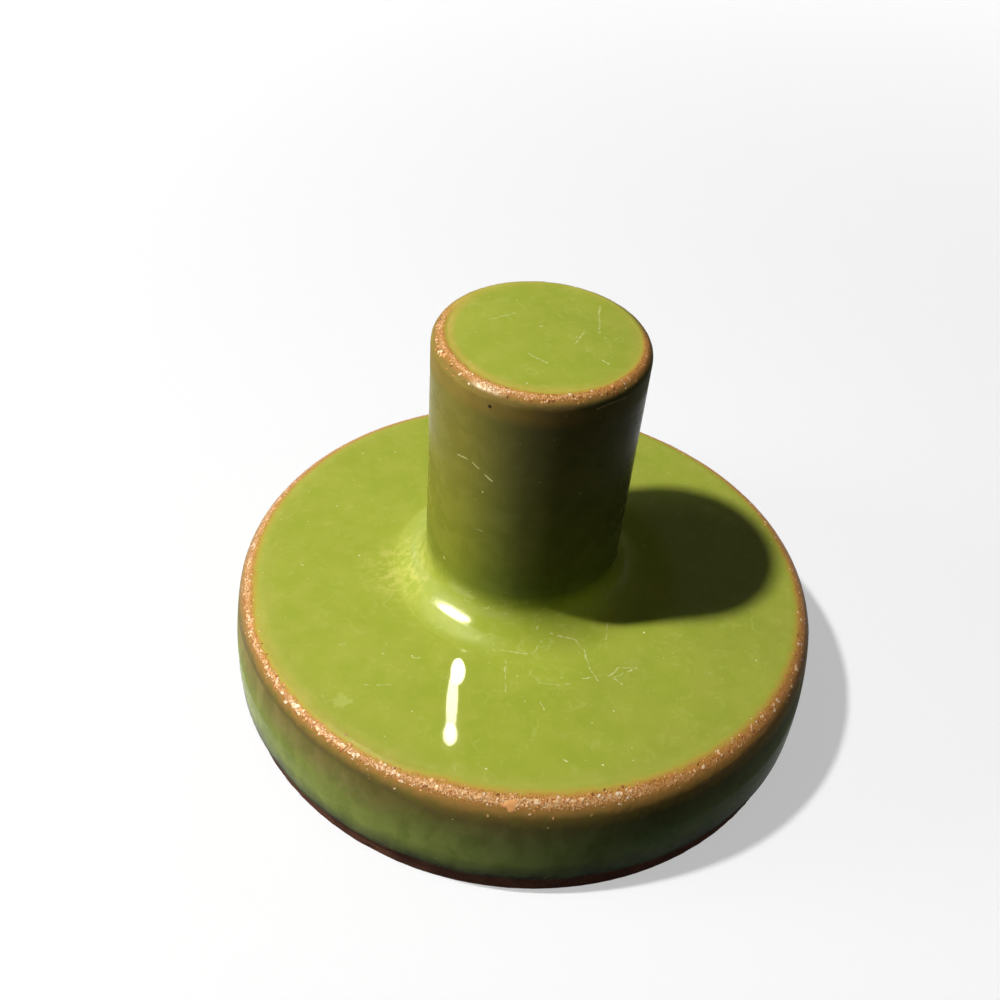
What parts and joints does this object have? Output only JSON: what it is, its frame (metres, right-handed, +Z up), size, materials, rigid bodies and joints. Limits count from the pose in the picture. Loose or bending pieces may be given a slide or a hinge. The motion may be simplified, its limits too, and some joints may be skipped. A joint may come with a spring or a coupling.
{
  "type": "cookie stamp",
  "caption": "Glazed terracotta cookie stamp: a thick round disc with a relief face underneath and a plain upright cylinder handle.",
  "frame": {"origin": "centre of the stamping face, on the surface the stamp rests on", "axes": "+Z up, along the handle away from the stamping face; +X to the right and -Y towards the viewer of the picture"},
  "size_m": [0.065, 0.065, 0.0445],
  "materials": {
    "terracotta": "unglazed, matte, slightly gritty",
    "slip": "unglazed, fired slip",
    "green_glaze": "glossy apple-green, breaking to orange-brown on the edges"
  },
  "bodies": {
    "root": {"stamp_disc": "terracotta", "handle": "terracotta", "fillet_coil": "terracotta", "slip_joint": "slip", "glaze_coat": "green_glaze"}
  },
  "joints": []
}
